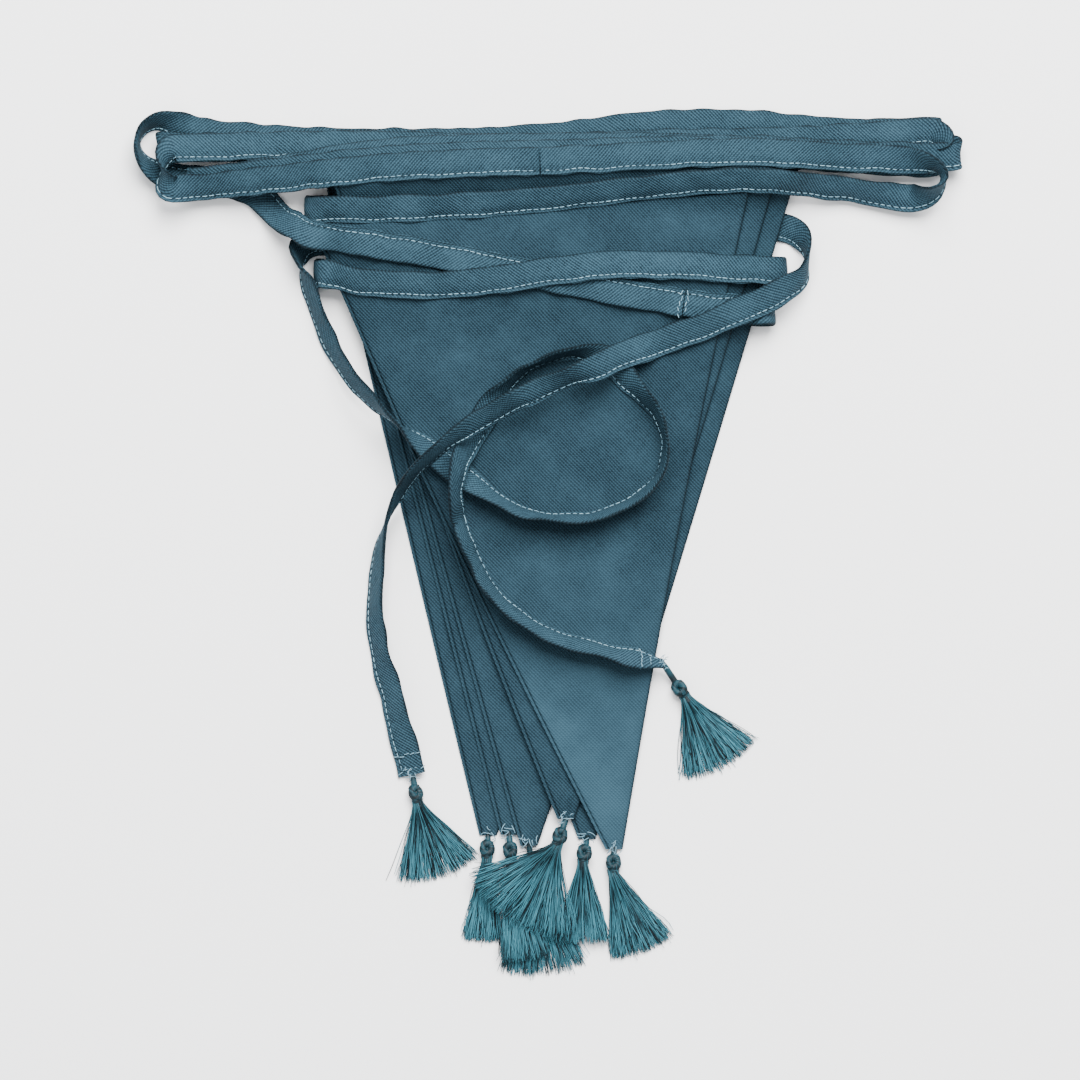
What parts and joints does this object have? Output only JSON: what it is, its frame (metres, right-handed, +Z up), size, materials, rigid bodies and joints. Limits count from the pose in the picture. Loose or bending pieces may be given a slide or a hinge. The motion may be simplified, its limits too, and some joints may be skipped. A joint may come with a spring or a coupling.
{
  "type": "fabric bunting",
  "caption": "Fabric bunting folded flat: long narrow pennants with tasselled tips on a stitched tape that is folded at the top, its ties wrapped round and looped over the front.",
  "frame": {"origin": "on the surface that the bunting lies on, under the lowest pennant near the middle of the stack", "axes": "+Z up from that surface, through the stack; +Y from the pennants' tips towards the folded tape; +X to the right, along the folded tape"},
  "size_m": [0.3641, 0.3814, 0.0366],
  "materials": {
    "cloth": "matte",
    "tape": "matte",
    "floss": "silky"
  },
  "bodies": {
    "root": {"pennant_1": "cloth", "pennant_2": "cloth", "pennant_3": "cloth", "pennant_4": "cloth", "pennant_5": "cloth", "pennant_6": "cloth", "tape_length_1": "tape", "tape_length_2": "tape", "tape_length_3": "tape", "tassel_1": "floss", "tassel_2": "floss", "tassel_3": "floss", "tassel_4": "floss", "tassel_5": "floss", "tassel_6": "floss", "tassel_7": "floss", "tassel_8": "floss"}
  },
  "joints": []
}
